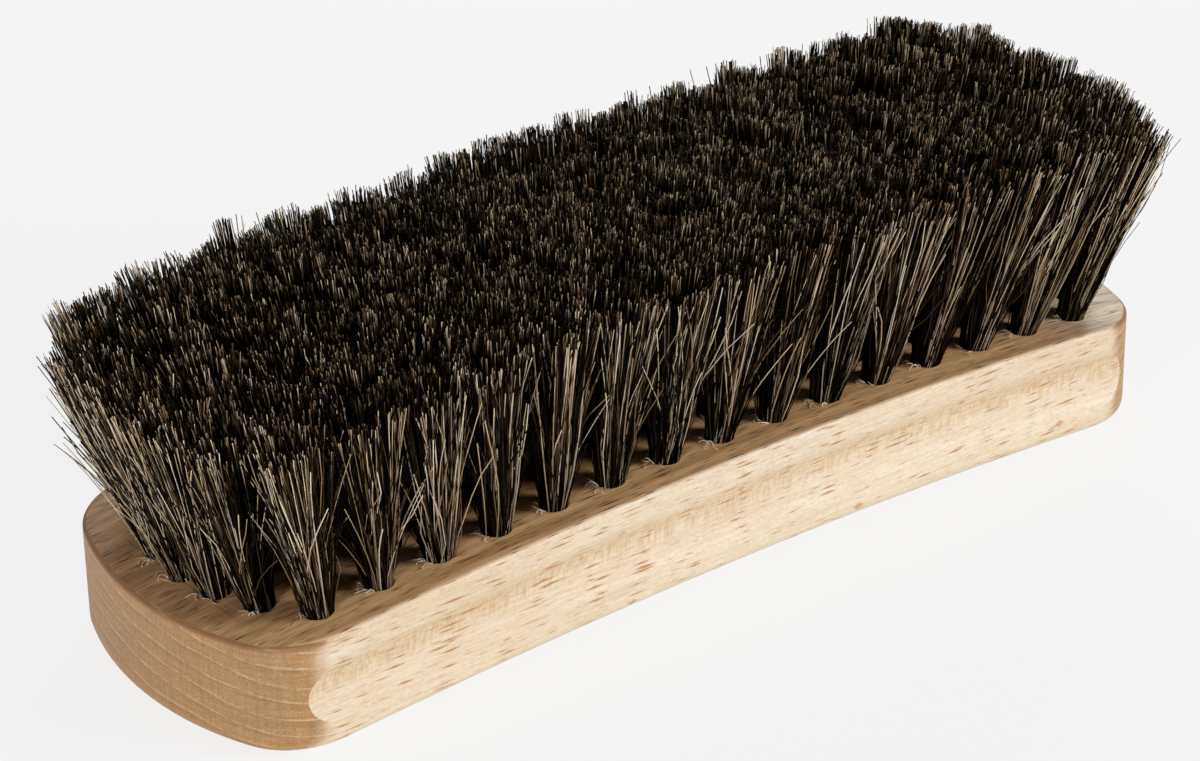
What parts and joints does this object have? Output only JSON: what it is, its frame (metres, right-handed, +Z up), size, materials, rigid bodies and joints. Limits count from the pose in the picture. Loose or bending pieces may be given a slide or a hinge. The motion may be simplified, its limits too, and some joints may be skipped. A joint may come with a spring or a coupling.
{
  "type": "shoe shine brush",
  "caption": "Bowed beech block with rounded ends and finger coves, set with staggered rows of fanned dark horsehair tufts, for buffing polished shoes.",
  "frame": {"origin": "middle of the footprint, on the surface that the back of the block stands on", "axes": "+X along the block, +Y across it, +Z up through the bristles"},
  "size_m": [0.1886, 0.0628, 0.0526],
  "materials": {
    "beech_wood": "sanded bare beech with short brown pore flecks",
    "horsehair": "glossy mixed horsehair, mostly black and dark brown with some tan and grey hairs",
    "anchor_steel": "drawn flat wire"
  },
  "bodies": {
    "root": {"wood_block": "beech_wood", "anchors_row_1": "anchor_steel", "tufts_row_1_set_1": "horsehair", "tufts_row_1_set_2": "horsehair", "tufts_row_1_set_3": "horsehair", "tufts_row_1_set_4": "horsehair", "tufts_row_1_set_5": "horsehair", "tufts_row_1_set_6": "horsehair", "tufts_row_1_set_7": "horsehair", "anchors_row_2": "anchor_steel", "tufts_row_2_set_1": "horsehair", "tufts_row_2_set_2": "horsehair", "tufts_row_2_set_3": "horsehair", "tufts_row_2_set_4": "horsehair", "tufts_row_2_set_5": "horsehair", "tufts_row_2_set_6": "horsehair", "tufts_row_2_set_7": "horsehair", "anchors_row_3": "anchor_steel", "tufts_row_3_set_1": "horsehair", "tufts_row_3_set_2": "horsehair", "tufts_row_3_set_3": "horsehair", "tufts_row_3_set_4": "horsehair", "tufts_row_3_set_5": "horsehair", "tufts_row_3_set_6": "horsehair", "tufts_row_3_set_7": "horsehair", "anchors_row_4": "anchor_steel", "tufts_row_4_set_1": "horsehair", "tufts_row_4_set_2": "horsehair", "tufts_row_4_set_3": "horsehair", "tufts_row_4_set_4": "horsehair", "tufts_row_4_set_5": "horsehair", "tufts_row_4_set_6": "horsehair", "tufts_row_4_set_7": "horsehair", "anchors_row_5": "anchor_steel", "tufts_row_5_set_1": "horsehair", "tufts_row_5_set_2": "horsehair", "tufts_row_5_set_3": "horsehair", "tufts_row_5_set_4": "horsehair", "tufts_row_5_set_5": "horsehair", "tufts_row_5_set_6": "horsehair", "tufts_row_5_set_7": "horsehair", "anchors_row_6": "anchor_steel", "tufts_row_6_set_1": "horsehair", "tufts_row_6_set_2": "horsehair", "tufts_row_6_set_3": "horsehair", "tufts_row_6_set_4": "horsehair", "tufts_row_6_set_5": "horsehair", "tufts_row_6_set_6": "horsehair", "tufts_row_6_set_7": "horsehair", "anchors_row_7": "anchor_steel", "tufts_row_7_set_1": "horsehair", "tufts_row_7_set_2": "horsehair", "tufts_row_7_set_3": "horsehair", "tufts_row_7_set_4": "horsehair", "tufts_row_7_set_5": "horsehair", "tufts_row_7_set_6": "horsehair", "tufts_row_7_set_7": "horsehair"}
  },
  "joints": []
}
